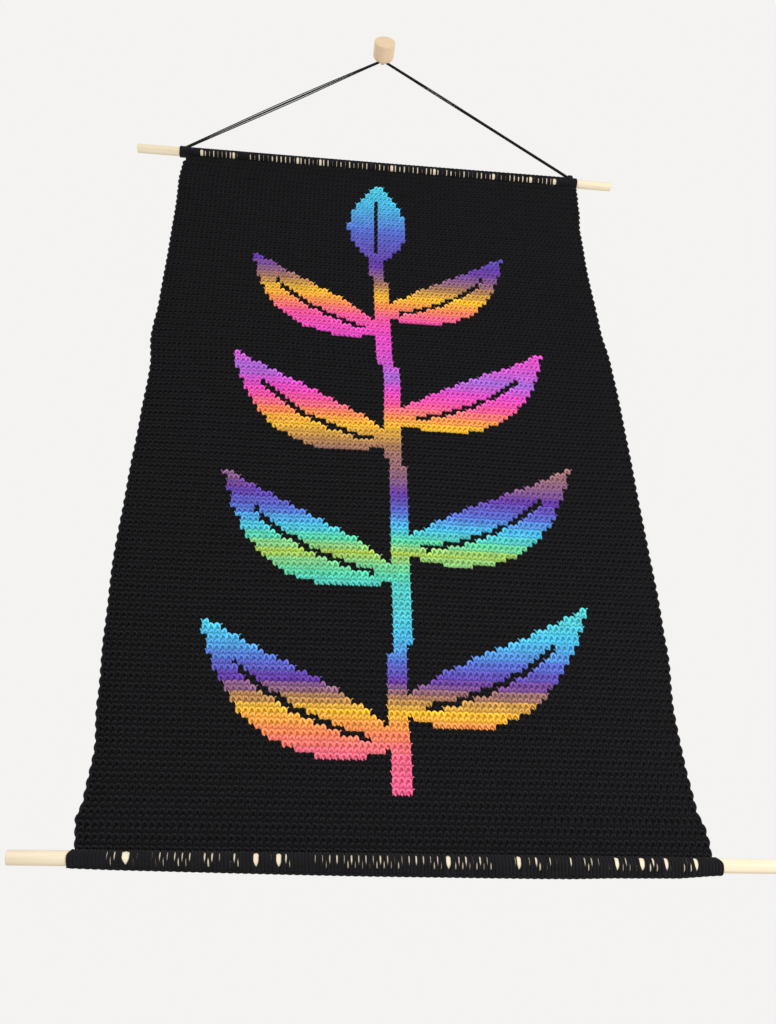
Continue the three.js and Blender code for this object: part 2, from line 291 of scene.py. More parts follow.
def piece(name, mesh, slot, *replaced):
    """A mesh as a piece that rides with the hanging."""
    thing = bpy.data.objects.new(name, mesh)
    bpy.context.collection.objects.link(thing)
    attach(thing, "root")
    if replaced:
        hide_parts(*replaced)
    made_triangles[name] = sum(len(p.vertices) - 2 for p in mesh.polygons)
    return thing



# %% [markdown]
# The cord is four strands of the black yarn, loose beside each other. They leave the tie at the
# left end of the top dowel, spread a little in the middle of the leg, come together over the peg's
# pin, and run down to the tie at the right. A taut cord hardly sags, so its route is close to two
# straight lines. The route is a list of points, the same list that its solids follow, and each
# strand keeps its own place in the bundle.

# %% Cord route, in millimetres
# x, y, z of the middle of the bundle, and how far apart the strands lie, across and in depth
CORD_ROUTE = [
    (-250.9, -10.0, -248.4, 1.65, 1.65),
    (-238.4, -9.7, -235.7, 1.75, 1.65),
    (-214.0, -9.0, -210.8, 2.4, 1.9),
    (-177.3, -7.9, -173.5, 3.7, 2.2),
    (-140.7, -6.7, -136.2, 4.3, 2.4),
    (-104.0, -5.4, -99.0, 4.1, 2.3),
    (-67.4, -4.2, -61.8, 3.1, 2.0),
    (-35.6, -3.1, -29.7, 2.1, 1.7),
    (-16.0, -2.4, -10.1, 1.65, 1.65),
    (-8.0, -2.05, -2.0, 1.65, 1.65),
    (-3.05, -1.95, 3.05, 1.65, 1.65),
    (-1.6, -1.95, 4.0, 1.65, 1.65),
    (0.0, -1.95, 4.3, 1.65, 1.65),
    (1.7, -1.95, 3.95, 1.65, 1.65),
    (3.15, -1.95, 2.95, 1.65, 1.65),
    (8.2, -2.05, -2.5, 1.65, 1.65),
    (15.6, -2.4, -10.5, 1.65, 1.65),
    (34.0, -3.0, -30.1, 1.9, 1.65),
    (70.8, -4.3, -69.6, 2.3, 1.7),
    (109.9, -5.6, -111.6, 2.1, 1.65),
    (148.9, -7.0, -153.7, 1.7, 1.65),
    (190.3, -8.4, -198.3, 1.65, 1.65),
    (222.5, -9.6, -233.1, 1.65, 1.65),
    (236.5, -10.0, -248.4, 1.65, 1.65),
]
STRAND_PLACES = [(-0.5, -0.5), (0.5, -0.5), (-0.5, 0.5), (0.5, 0.5)]
SPAN_STEPS = 6
CORD_SIDES = 8


def strand_points(across, depth):
    """The route of one strand: the middle line, moved to the strand's place in the bundle."""
    route = np.array(CORD_ROUTE)
    flat = route[:, [0, 2]]
    legs = unit(np.diff(flat, axis=0))
    along = unit(np.vstack([legs[:1], legs]) + np.vstack([legs, legs[-1:]]))
    shift = (across * route[:, 3])[:, None] * np.stack([-along[:, 1], along[:, 0]], 1)
    return np.c_[flat[:, 0] + shift[:, 0], route[:, 1] + depth * route[:, 4], flat[:, 1] + shift[:, 1]]


def blend(u, a, b, start, end):
    """a where u is at start, b where it is at end, and a straight mix between them."""
    return ((end - u) * a + (u - start) * b) / (end - start)


def smooth_line(points, steps):
    """A centripetal Catmull-Rom curve through the points."""
    padded = np.vstack([2 * points[0] - points[1], points, 2 * points[-1] - points[-2]])
    knots = np.r_[0, np.cumsum(np.sqrt(np.linalg.norm(np.diff(padded, axis=0), axis=1)))]
    line = []
    for k in range(len(points) - 1):
        p, t = padded[k : k + 4], knots[k : k + 4]
        for u in np.linspace(t[1], t[2], steps, endpoint=False):
            a = [blend(u, p[j], p[j + 1], t[j], t[j + 1]) for j in range(3)]
            b = [blend(u, a[j], a[j + 1], t[j], t[j + 2]) for j in range(2)]
            line.append(blend(u, b[0], b[1], t[1], t[2]))
    return np.array(line + [points[-1]])


print("the route has", len(CORD_ROUTE), "points")

# %% Cord strands
for number, (across, depth) in enumerate(STRAND_PLACES, 1):
    line = smooth_line(strand_points(across, depth), SPAN_STEPS)
    strand = one_strand(line, STRAND_DIAMETER / 2)
    mesh = strand_mesh(f"cord strand {number}", [strand], CORD_SIDES, black_yarn)
    cord = piece(f"cord_yarn_{number}", mesh, "black_yarn", f"cord_strand_{number}")

# %% [markdown]
# Wood next. The dowels are pale hardwood rods, milled round and lightly sanded, so long straight
# grain runs from end to end with short dark pores, and the edge at each end is a little
# rounded. The peg is turned from the same kind of wood, slightly warmer, with its grain along its
# own axis. Grain is noise that is stretched a long way along one direction. Its lines are about
# 0.6 mm apart, and its pores 0.25 mm wide.

# %% Wood material
GRAIN_WIDTH, GRAIN_LENGTH = 0.6, 60.0  # mm
PORE_WIDTH, PORE_LENGTH = 0.25, 7.0
BAND_WIDTH = 5.0


def wood_material(name, pale, dark, along, roughness, pore_tone):
    """Sanded hardwood with its grain along the axis 0 (X) or 1 (Y)."""
    material, tree = new_material(name)
    place = add(tree, "ShaderNodeTexCoord").outputs["Object"]

    def stretched(width, length, detail):
        scale = [1 / (width * MM)] * 3
        scale[along] = 1 / (length * MM)
        sized = add(tree, "ShaderNodeVectorMath", {0: place, 1: scale}, operation="MULTIPLY")
        return add(tree, "ShaderNodeTexNoise", {"Vector": sized, "Scale": 1.0, "Detail": detail})

    grain = stretched(GRAIN_WIDTH, GRAIN_LENGTH, 3.0)
    bands = stretched(BAND_WIDTH, 3 * GRAIN_LENGTH, 1.0)
    pores = stretched(PORE_WIDTH, PORE_LENGTH, 1.0)
    lines = add(tree, "ShaderNodeMath", {0: grain, 1: bands}, operation="ADD")
    limits = {"From Min": 0.75, "From Max": 1.3, "To Min": 0.0, "To Max": 1.0}
    toned = add(tree, "ShaderNodeMapRange", {"Value": lines, **limits})
    tones = {"A": (*linear(pale), 1), "B": (*linear(dark), 1)}
    wood = add(tree, "ShaderNodeMix", {"Factor": toned, **tones}, data_type="RGBA").outputs["Result"]
    limits = {"From Min": 0.66, "From Max": 0.74, "To Min": 1.0, "To Max": pore_tone}
    pits = add(tree, "ShaderNodeMapRange", {"Value": pores, **limits})
    tint = add(tree, "ShaderNodeVectorMath", {0: wood, 1: pits}, operation="MULTIPLY")
    height = add(tree, "ShaderNodeMath", {0: pits, 1: grain}, operation="ADD")
    relief = {"Strength": 0.35, "Distance": 0.15 * MM, "Height": height}
    bump = add(tree, "ShaderNodeBump", relief)
    finish = {"Base Color": tint, "Roughness": roughness, "IOR": 1.5, "Specular IOR Level": 0.35}
    shader = add(tree, "ShaderNodeBsdfPrincipled", {**finish, "Normal": bump})
    add(tree, "ShaderNodeOutputMaterial", {"Surface": shader})
    return material


dowel_wood = wood_material(
    "sanded dowel wood", "#e4d8bf", "#d6c7a9", along=0, roughness=0.6, pore_tone=0.9
)
peg_wood = wood_material(
    "turned peg wood", "#dac2a4", "#d4b995", along=1, roughness=0.6, pore_tone=0.98
)
print("woods:", dowel_wood.name, "and", peg_wood.name)

# %% [markdown]
# A dowel and a turned peg are both a profile spun round an axis. Blender's Screw modifier does
# that, but a few lines of array code give even rings and a closed body, and keep the smooth sides
# and crisp edges under control: the edges are marked sharp only where the profile turns hard.

# %% Turned wood
TURNED_SIDES = 64
CRISP_ANGLE = 35  # degrees from which a turn of the profile is a crisp edge


def turned(name, profile, axis, middle, material):
    """Spins (radius, place along the axis) points, in mm. The first and last are on the axis."""
    profile = np.array(profile)
    angle = 2 * math.pi * np.arange(TURNED_SIDES) / TURNED_SIDES
    inner = profile[1:-1]
    a, b = [k for k in range(3) if k != axis]
    rings = np.zeros((len(inner), TURNED_SIDES, 3))
    rings[:, :, axis] = inner[:, 1:2]
    rings[:, :, a] = inner[:, 0:1] * np.cos(angle)
    rings[:, :, b] = inner[:, 0:1] * np.sin(angle)
    ends = np.zeros((2, 3))
    ends[:, axis] = profile[[0, -1], 1]
    points = np.vstack([rings.reshape(-1, 3), ends]) + middle
    faces = []
    low, high = len(points) - 2, len(points) - 1
    for k in range(TURNED_SIDES):
        n = (k + 1) % TURNED_SIDES
        faces.append((low, n, k))
        faces.append((high, (len(inner) - 1) * TURNED_SIDES + k, (len(inner) - 1) * TURNED_SIDES + n))
        for r in range(len(inner) - 1):
            i, j = r * TURNED_SIDES, (r + 1) * TURNED_SIDES
            faces.append((i + k, i + n, j + n, j + k))
    if axis == 1:  # X and Z swap hands round Y
        faces = [f[::-1] for f in faces]
    mesh = bpy.data.meshes.new(name)
    mesh.from_pydata([tuple(p) for p in points * MM], [], faces)
    mesh.polygons.foreach_set("use_smooth", np.ones(len(faces), bool))
    mesh.update()
    mesh.set_sharp_from_angle(angle=math.radians(CRISP_ANGLE))
    mesh.materials.append(material)
    return mesh


ROD_CHAMFER = 0.7
ROD_RINGS, ROD_MARGIN = 12, 20  # rings along the rod, from this far from its ends


def dowel(name, x, z, node):
    half = ROD_LENGTH / 2
    round_end = [
        (ROD_RADIUS - ROD_CHAMFER * (1 - math.sin(a)), half - ROD_CHAMFER * (1 - math.cos(a)))
        for a in np.radians([0, 22, 45, 68, 90])
    ]
    body = [(ROD_RADIUS, s) for s in np.linspace(-half + ROD_MARGIN, half - ROD_MARGIN, ROD_RINGS)]
    profile = [(0, -half), *[(r, -s) for r, s in round_end], *body, *round_end[::-1], (0, half)]
    mesh = turned(name, profile, 0, (x, CLOTH_Y, z), dowel_wood)
    return piece(name, mesh, "dowel_wood", node)


dowel("top_dowel", *TOP_ROD, "rod_top")
dowel("bottom_dowel", *BOTTOM_ROD, "rod_bottom")
print("dowels of", 2 * ROD_RADIUS, "mm")

# %% [markdown]
# The peg starts as a thin pin at the wall, on which the cord lies, widens to a short neck, steps
# out to a rounded shoulder, and ends in a flat face with a soft rim.

# %% Wall peg
PEG_LENGTH = 33.2
PIN_RADIUS, PIN_LENGTH = 2.5, 3.8
NECK_RADIUS, NECK_END, NECK_CHAMFER = 6.0, 6.6, 0.4
SHOULDER_START, SHOULDER_RADIUS, SHOULDER_LENGTH, SHOULDER_STEP = 9.8, 4.7, 6.5, 0.7
RIM_ROUND = 1.4


def peg_profile():
    back = NECK_END + SHOULDER_STEP
    rim = SHOULDER_START + SHOULDER_RADIUS
    profile = [(0, 0), (PIN_RADIUS, 0), (PIN_RADIUS, PIN_LENGTH), (NECK_RADIUS, PIN_LENGTH)]
    profile += [(NECK_RADIUS, NECK_END - NECK_CHAMFER), (NECK_RADIUS + NECK_CHAMFER, NECK_END)]
    for a in np.linspace(0, math.pi / 2, 10):
        out, up = SHOULDER_RADIUS * math.sin(a), SHOULDER_LENGTH * (1 - math.cos(a))
        profile.append((SHOULDER_START + out, back + up))
    for s in np.linspace(back + SHOULDER_LENGTH + 4, PEG_LENGTH - RIM_ROUND - 3, 4):
        profile.append((rim, s))
    for a in np.linspace(0, math.pi / 2, 7):
        inward, down = RIM_ROUND * (1 - math.cos(a)), RIM_ROUND * (1 - math.sin(a))
        profile.append((rim - inward, PEG_LENGTH - down))
    return profile + [(0, PEG_LENGTH)]


# the peg runs from the wall into the room, against Y, so its faces are turned round
peg = turned("wall peg", [(r, -s) for r, s in peg_profile()], 1, (0, 0, 0), peg_wood)
peg.flip_normals()
piece("wall_peg", peg, "peg_wood", "peg")
print("peg of", 2 * (SHOULDER_START + SHOULDER_RADIUS), "mm")

# %% [markdown]
# The cloth hangs nearly flat, but no hand-made panel has straight sides. A table gives the two
# side edges at a few heights, and eased lines join them. Slow waves move the cloth out of its
# plane by a millimetre or two, and die out at the dowels that hold it straight.

# %% Outline and unevenness of the cloth
# height above the bottom dowel, left edge and right edge from the middle of the panel
OUTLINE = np.array(
    [
        (6.0, -246.0, 243.5),
        (18, -247.5, 244.0),
        (29, -248.8, 243.2),
        (44, -245.3, 239.1),
        (85, -243.0, 237.2),
        (125, -246.5, 237.0),
        (195, -250.0, 242.8),
        (260, -252.0, 244.8),
        (350, -250.3, 245.2),
        (430, -248.3, 246.2),
        (500, -246.4, 247.2),
        (545, -250.2, 246.6),
        (600, -247.4, 242.6),
        (690, -246.2, 240.8),
        (765, -245.6, 242.4),
        (815, -246.8, 247.0),
        (842, -245.2, 249.0),
        (853, -242.4, 249.5),
        (856, -241.2, 248.5),
        (857, -240.4, 241.5),
        (860, -239.8, 239.8),
    ]
)
# size in mm, turns across, turns up, phase
WAVES = [(1.5, 1.0, 0.7, 0.4), (0.8, 2.0, -1.6, 1.9), (0.6, 0.6, 3.1, 4.2)]
EDGE_GROOVE, GROOVE_REACH = 0.9, 0.3  # mm that the sides draw in between two ribs, parts of a rib


def cloth_place(height, across, depth):
    """A point of the cloth. across is 0 at its left edge and 1 at its right, depth is to the wall."""
    k = np.clip(np.searchsorted(OUTLINE[:, 0], height, side="right") - 1, 0, len(OUTLINE) - 2)
    t = np.clip((height - OUTLINE[k, 0]) / (OUTLINE[k + 1, 0] - OUTLINE[k, 0]), 0, 1)
    eased = (t * t * (3 - 2 * t))[..., None]
    edges = OUTLINE[k, 1:] * (1 - eased) + OUTLINE[k + 1, 1:] * eased
    part = ((height - CLOTH_LOW) / RIB) % 1
    groove = EDGE_GROOVE * np.clip(1 - np.minimum(part, 1 - part) / GROOVE_REACH, 0, 1)
    left, right = edges[..., 0] + groove, edges[..., 1] - groove
    up = np.clip((height - CLOTH_LOW) / (CLOTH_HIGH - CLOTH_LOW), 0, 1)
    wave = sum(
        size * np.sin(math.pi * up) * np.sin(2 * math.pi * (a * across + u * up) + phase)
        for size, a, u, phase in WAVES
    )
    x = CLOTH_X + left + (right - left) * across
    return np.stack([x, CLOTH_Y + wave + depth, BOTTOM_ROD[1] + height], -1)


corner = cloth_place(np.array([CLOTH_LOW, CLOTH_HIGH]), np.array([0.0, 1.0]), 0.0)
print("cloth from", corner[0].round(1), "to", corner[1].round(1))

# %% [markdown]
# The design is charted on the stitches, as a crocheter does on squared paper: one square for each
# stitch of each row. It is a large leafy sprig, four pairs of leaves on a stem with one leaf at
# its top. A leaf is a lens between its foot and its tip, bent a little upwards, with a black
# midrib. Formulas fill the chart, so any other size of panel would get the same sprig.

# %% Chart of the leafy sprig
STEM_HALF_WIDTH = 8.0
STEM_SWAY, SWAY_LENGTH = 7.0, 150.0
STEM_LOW, STEM_HIGH = 52.0, 700.0
# foot height on the stem, side (-1 left, 1 right), length, width, rise in degrees
LEAVES = [
    (95.0, -1, 208.0, 66.0, 34.0),
    (125.0, 1, 204.0, 64.0, 31.0),
    (255.0, -1, 206.0, 65.0, 35.0),
    (285.0, 1, 208.0, 66.0, 32.0),
    (415.0, -1, 206.0, 65.0, 34.0),
    (445.0, 1, 202.0, 64.0, 33.0),
    (572.0, -1, 190.0, 62.0, 38.0),
    (600.0, 1, 184.0, 60.0, 36.0),
    (688.0, 0, 142.0, 70.0, 90.0),
]
LEAF_BEND = 0.12  # of its length, at its middle
# below 1, the first puts a leaf's widest place nearer its foot, and the second makes it fuller
LEAF_SKEW, LEAF_FULLNESS = 0.8, 0.9
MIDRIB_HALF = 3.4
MIDRIB_START, MIDRIB_END = 0.1, 0.76  # of the leaf's length


def stem_x(height):
    return CLOTH_X + STEM_SWAY * np.sin((height - STEM_LOW) / SWAY_LENGTH)


def leaf_frame(x, height, foot, side, length, rise):
    """How far along a leaf a point is (0 to 1), and how far from its bent middle line, in mm."""
    turn = math.radians(rise)
    ahead = np.array([math.cos(turn) * side, math.sin(turn)]) if side else np.array([0.0, 1.0])
    beside = np.array([-ahead[1], ahead[0]])
    dx, dz = x - stem_x(foot), height - foot
    along = (dx * ahead[0] + dz * ahead[1]) / length
    off = dx * beside[0] + dz * beside[1]
    bend = -side * LEAF_BEND * length * 4 * along * (1 - along)
    return along, off - bend


def chart_of_sprig():
    row, column = np.mgrid[0:ROWS, 0:STITCHES]
    height = CLOTH_LOW + (row + 0.5) * RIB / 2
    x = CLOTH_X - PANEL_HALF + (column + 0.5) * STITCH
    on = (np.abs(x - stem_x(height)) < STEM_HALF_WIDTH) & (height > STEM_LOW) & (height < STEM_HIGH)
    for foot, side, length, width, rise in LEAVES:
        along, off = leaf_frame(x, height, foot, side, length, rise)
        inside = (along > 0) & (along < 1)
        share = np.clip(along, 0, 1)
        half = width / 2 * np.sin(math.pi * share**LEAF_SKEW) ** LEAF_FULLNESS
        on |= inside & (np.abs(off) < half)
        rib = (np.abs(off) < MIDRIB_HALF) & (along > MIDRIB_START) & (along < MIDRIB_END)
        on &= ~rib
    return on


chart = chart_of_sprig()
print(f"{chart.sum()} coloured stitches, {chart.mean():.1%} of the panel")

# %% [markdown]
# The rainbow yarn is self-striping: its dye changes slowly along the ball. The colour of a stitch
# therefore depends on how much of that yarn was used before it. The stitches are counted in the
# order they are worked, back and forth from the bottom row, and the count picks the colour. The
# dye runs through its list and back again.

# %% Dye of each stitch
# lilac, magenta, pink, coral, yellow, tan, violet, blue, sky blue, mint, lime
DYES = ["#b070e0", "#f050d0", "#ff5fa8", "#ff9060", "#ffc832", "#b08060"]
DYES += ["#6c3cb0", "#5f78dc", "#50c8f0", "#60dcb0", "#b4d050"]
HALF_REPEAT = 1150  # stitches from one end of the list to the other
FIRST_STITCH = 250
dye_steps = np.array([linear(code) for code in DYES])


def worked_order(on):
    """Each coloured stitch's number. The rows run to the left and to the right by turns."""
    turned_rows = on.copy()
    turned_rows[0::2] = turned_rows[0::2, ::-1]
    number = np.cumsum(turned_rows.ravel()).reshape(on.shape)
    number[0::2] = number[0::2, ::-1]
    return number


def dye_of(number):
    """The linear colour for a stitch number, which may lie between two stitches."""
    turn = ((number + FIRST_STITCH) / HALF_REPEAT) % 2
    place = np.where(turn < 1, turn, 2 - turn) * (len(DYES) - 1)
    k = np.clip(place.astype(int), 0, len(DYES) - 2)
    mix = (place - k)[..., None]
    return dye_steps[k] * (1 - mix) + dye_steps[k + 1] * mix


stitch_number = worked_order(chart)
stitch_dye = dye_of(stitch_number)
print("dye repeats", round(chart.sum() / HALF_REPEAT, 2), "times")

# %% [markdown]
# A core sheet gives the panel its body: a thin closed sheet with the ribs' relief, which shows
# only in the holes between the loops. It carries a darker tone of the yarn over it, because light
# hardly reaches in there. It is the sheet of cloth, at the size it was worked to.

# %% Core sheet
# part of a rib, front and back of the sheet from its middle, in mm
CORE_LINES = [(-0.2, -0.35, 0.5), (0.02, 0.0, 0.45), (0.3, -0.6, 0.35)]
CORE_TOP = (0.03, -0.4, 0.4)  # the last line, inside the yarn round the top dowel
# painted shade: the dye of a coloured stitch is made this much darker in the holes, where light hardly
# reaches
CORE_PAINTED_SHADE = 0.46
CORE_INSET = 0.0035  # share of the width that the loops at the sides stand past it
# painted shade: a black darker than the black yarn, in the holes between black stitches and on the
# sheet's rim
CORE_PAINTED_SHADE_BLACK = "#0a090b"
CORE_FUZZ = 0.9  # mm
WIDE_STEP = 4  # stitches from one line to the next where all the columns are black


def core_mesh():
    lines = [(k + part, front, back) for k in range(RIBS) for part, front, back in CORE_LINES]
    lines.append((RIBS + CORE_TOP[0], *CORE_TOP[1:]))
    part, front, back = np.array(lines).T
    # the first line would lie below the cloth, and is kept at its lower edge
    height = np.maximum(CLOTH_LOW + part * RIB, CLOTH_LOW + 0.02 * part)
    coloured = np.r_[False, chart.any(axis=0), False]
    between = [k for k in range(STITCHES + 1) if k % WIDE_STEP == 0 or coloured[k] or coloured[k + 1]]
    across = CORE_INSET + (1 - 2 * CORE_INSET) * np.array(between) / STITCHES
    grid_height, grid_across = np.meshgrid(height, across, indexing="ij")
    faces_of = [cloth_place(grid_height, grid_across, side[:, None]) for side in (front, back)]
    points = np.concatenate([f.reshape(-1, 3) for f in faces_of])
    index = np.arange(len(lines) * len(between)).reshape(len(lines), len(between))
    far = index.size
    quads = np.stack([index[:-1, :-1], index[:-1, 1:], index[1:, 1:], index[1:, :-1]], -1).reshape(-1, 4)
    rim = np.r_[index[0, :], index[1:, -1], index[-1, -2::-1], index[-2:0:-1, 0]]
    nxt = np.roll(rim, -1)
    sides = np.stack([nxt, rim, rim + far, nxt + far], -1)
    faces = np.concatenate([quads, quads[:, ::-1] + far, sides])
    mesh = array_mesh("cloth core", points, faces.ravel(), np.full(len(faces), 4), core_material())
    # two of the three lines of a rib lie in its lower row, and one in its upper row
    rib, line = np.divmod(np.arange(len(lines) - 1), len(CORE_LINES))
    square = np.ix_(2 * rib + (line == 2), between[:-1])
    # painted shade: the holes under coloured stitches get their dye made darker, and the rest a black
    # darker than the yarn's
    black = np.array(linear(CORE_PAINTED_SHADE_BLACK))
    shaded_cell = np.where(chart[square][..., None], stitch_dye[square] * CORE_PAINTED_SHADE, black).reshape(-1, 3)
    shaded_tone = np.concatenate([shaded_cell, shaded_cell, np.tile(black, (len(sides), 1))])
    store_dye(mesh, shaded_tone.repeat(4, 0), "CORNER")
    return mesh


def core_material():
    """The inside of the stitches: matt yarn whose colour carries painted shade, with the fibres' fuzz.
    """
    material, tree = new_material("shaded yarn inside the stitches")
    place = add(tree, "ShaderNodeTexCoord").outputs["Object"]
    dye_and_painted_light = add(tree, "ShaderNodeAttribute", attribute_name="dye_and_painted_light")
    noise = {"Vector": place, "Scale": 1 / (CORE_FUZZ * MM), "Detail": 3.0}
    fuzz = add(tree, "ShaderNodeTexNoise", noise)
    relief = {"Strength": 0.9, "Distance": 0.5 * MM, "Height": fuzz}
    bump = add(tree, "ShaderNodeBump", relief)
    finish = {"Base Color": dye_and_painted_light, "Roughness": 0.95, "Specular IOR Level": 0.1, "Normal": bump}
    shader = add(tree, "ShaderNodeBsdfPrincipled", finish)
    add(tree, "ShaderNodeOutputMaterial", {"Surface": shader})
    return material


core = core_mesh()
cloth = piece("crochet_cloth", core, "black_yarn", "panel")
print("core sheet with", len(core.polygons), "faces")

# %% [markdown]
# Now the stitches themselves. In a row of single crochet one yarn runs along in tall loops: up, over
# the top of the stitch, down, and through the cloth to its back, where it meets the next loop. The
# work is turned after each row, so the rows come in pairs. The lower row of a rib has open loops
# with a flat top that stands proud, and the upper row has lower, closer loops. The line below is
# that path, and each stitch is a little different, as a hand makes it.

# %% Path of the yarn in a row
# for the lower row and the upper row of a rib
LOOP_LOW, LOOP_HIGH = np.array([-0.20, 0.36]), np.array([0.27, 0.78])  # parts of a rib
LOOP_FRONT, LOOP_BACK = np.array([-0.80, -0.50]), np.array([0.35, 0.45])  # mm from the middle
LOOP_LEAN = np.array([-0.12, 0.12])  # of a stitch
LOOP_FLATNESS = np.array([4.0, 3.2])  # how square the top of a loop is
LOOP_PINCH = np.array([0.0, 0.10])  # of a stitch, how far its legs draw in
PEAK_LIFT = 0.10  # of a rib, for a coloured stitch with a black one above it
YARN_RADIUS = np.array([1.12, 1.06])
YARN_FLAT = 0.92  # a strand in the cloth is a little flatter than round
LOOP_BULGE = 0.55  # below 1, a loop comes to the front soon after its foot
LOOPS_FROM, LOOPS_TO = CLOTH_LOW + 0.6, CLOTH_HIGH - 1.2
no_row = np.zeros((1, STITCHES), bool)
peaked = chart & ~np.vstack([chart[1:], no_row])
hanging = chart & ~np.vstack([no_row, chart[:-1]])
chance = np.random.default_rng(11)
uneven_x = chance.uniform(-0.07, 0.07, (ROWS, STITCHES))
uneven_z = chance.uniform(-0.035, 0.035, (ROWS, STITCHES))
uneven_y = chance.uniform(-0.16, 0.16, (ROWS, STITCHES))
uneven_yarn = chance.uniform(0.93, 1.07, (ROWS, STITCHES))


def loop_line(row, t, lift=0.0, proud=0.0):
    """Where the yarn of a row is at t stitches from the left edge, and how thick it is."""
    column = np.clip(np.floor(t).astype(int), 0, STITCHES - 1)
    s = t - column
    kind = row % 2
    arch = 1 - np.abs(2 * s - 1) ** LOOP_FLATNESS[kind]
    part = LOOP_LOW[kind] + (LOOP_HIGH[kind] - LOOP_LOW[kind] + uneven_z[row, column]) * arch
    part += PEAK_LIFT * peaked[row, column] * np.clip(1 - 3 * np.abs(s - 0.5), 0, 1)
    height = np.clip(CLOTH_LOW + (row // 2 + part) * RIB + lift, LOOPS_FROM, LOOPS_TO)
    pinch = LOOP_PINCH[kind] * np.sin(2 * math.pi * s)
    across = (t + pinch + (LOOP_LEAN[kind] + uneven_x[row, column]) * arch) / STITCHES
    across = CORE_INSET + (1 - 2 * CORE_INSET) * across
    front = LOOP_FRONT[kind] + uneven_y[row, column]
    depth = LOOP_BACK[kind] + (front - LOOP_BACK[kind]) * arch**LOOP_BULGE - proud
    return cloth_place(height, across, depth), YARN_RADIUS[kind] * uneven_yarn[row, column]


def loop_strand(row, start, end, rings, **offset):
    """One strand along a row from stitch start to stitch end, and the place of each ring."""
    t = np.linspace(start, end, int(round((end - start) * rings)) + 1)
    points, radius = loop_line(np.full(len(t), row), t, **offset)
    return one_strand(points, radius, radius * YARN_FLAT), t


print("a loop of the lower row is", round((LOOP_HIGH[0] - LOOP_LOW[0]) * RIB, 1), "mm high")

# %% [markdown]
# A row is cut into runs of one colour. The black runs get five rings for each loop, because their
# shape hardly shows, and the coloured runs get eight. A ring has four sides, which smooth shading
# rounds. The runs are joined to a few meshes, none of them too large to handle.

# %% Runs of one colour
BLACK_RINGS, COLOUR_RINGS = 5, 8
YARN_SIDES = 4
# painted highlight: coloured stitches with a black one above them are made this much lighter
PEAK_PAINTED_HIGHLIGHT = 0.18  # the upper edge of the design catches more light


def runs_of(on):
    """(first stitch, stitch after the last) for each run of True in a row."""
    change = np.flatnonzero(np.diff(np.r_[False, on, False].astype(int)))
    return zip(change[0::2], change[1::2])


def row_strands(rows, coloured):
    strands = []
    for row in rows:
        on = chart[row] if coloured else ~chart[row]
        for start, end in runs_of(on):
            strand, t = loop_strand(row, start, end, COLOUR_RINGS if coloured else BLACK_RINGS)
            if coloured:
                way = -1 if row % 2 == 0 else 1
                column = np.clip(t.astype(int), start, end - 1)
                number = stitch_number[row, column] + way * (t - column - 0.5)
                # painted highlight: the stitches at the upper edge of the design are made lighter
                strand["dye_and_painted_light"] = dye_of(number) * (1 + PEAK_PAINTED_HIGHLIGHT * peaked[row, column])[:, None]
            strands.append(strand)
    return strands


def parted(rows, parts):
    return [list(chunk) for chunk in np.array_split(np.array(rows), parts)]


for number, rows in enumerate(parted(range(ROWS), 4), 1):
    mesh = strand_mesh(f"black stitches {number}", row_strands(rows, False), YARN_SIDES, black_yarn)
    piece(f"black_stitches_{number}", mesh, "black_yarn")
for number, rows in enumerate(parted(range(ROWS), 2), 1):
    mesh = strand_mesh(f"rainbow stitches {number}", row_strands(rows, True), YARN_SIDES, rainbow_yarn)
    piece(f"rainbow_stitches_{number}", mesh, "black_yarn")
print({name: made_triangles[name] for name in made_triangles if "stitches" in name})

# %% [markdown]
# When a crocheter changes colour, the last loop of the stitch before is already drawn in the new
# yarn. It shows as a small bright tooth beside the run, on the side that the row came from. Each
# tooth is a short strand over the top of that black stitch.

# %% Teeth at the colour changes
TOOTH_LIFT, TOOTH_PROUD, TOOTH_THIN = 0.4, 0.2, 0.78
TOOTH_REACH = 0.45  # of a stitch
teeth = []
for row in range(ROWS):
    for start, end in runs_of(chart[row]):
        way = -1 if row % 2 == 0 else 1
        column = end if way < 0 else start - 1
        if not 0 <= column < STITCHES:
            continue
        near, far = (0.0, TOOTH_REACH) if way < 0 else (1 - TOOTH_REACH, 1.0)
        reach = (row, column + near, column + far, COLOUR_RINGS)
        strand, t = loop_strand(*reach, lift=TOOTH_LIFT, proud=TOOTH_PROUD)
        strand["wide"] = strand["wide"] * TOOTH_THIN
        strand["thick"] = strand["thick"] * TOOTH_THIN
        used = stitch_number[row, end - 1 if way < 0 else start]
        strand["dye_and_painted_light"] = dye_of(np.full(len(t), float(used)))
        teeth.append(strand)
mesh = strand_mesh("teeth", teeth, YARN_SIDES, rainbow_yarn)
piece("colour_change_loops", mesh, "black_yarn")
print(len(teeth), "teeth")

# %% [markdown]
# Under the lower edge of the design the coloured yarn reaches down into the black row below, where
# the hook drew it through. It shows as a short slanted stroke under each of those stitches.

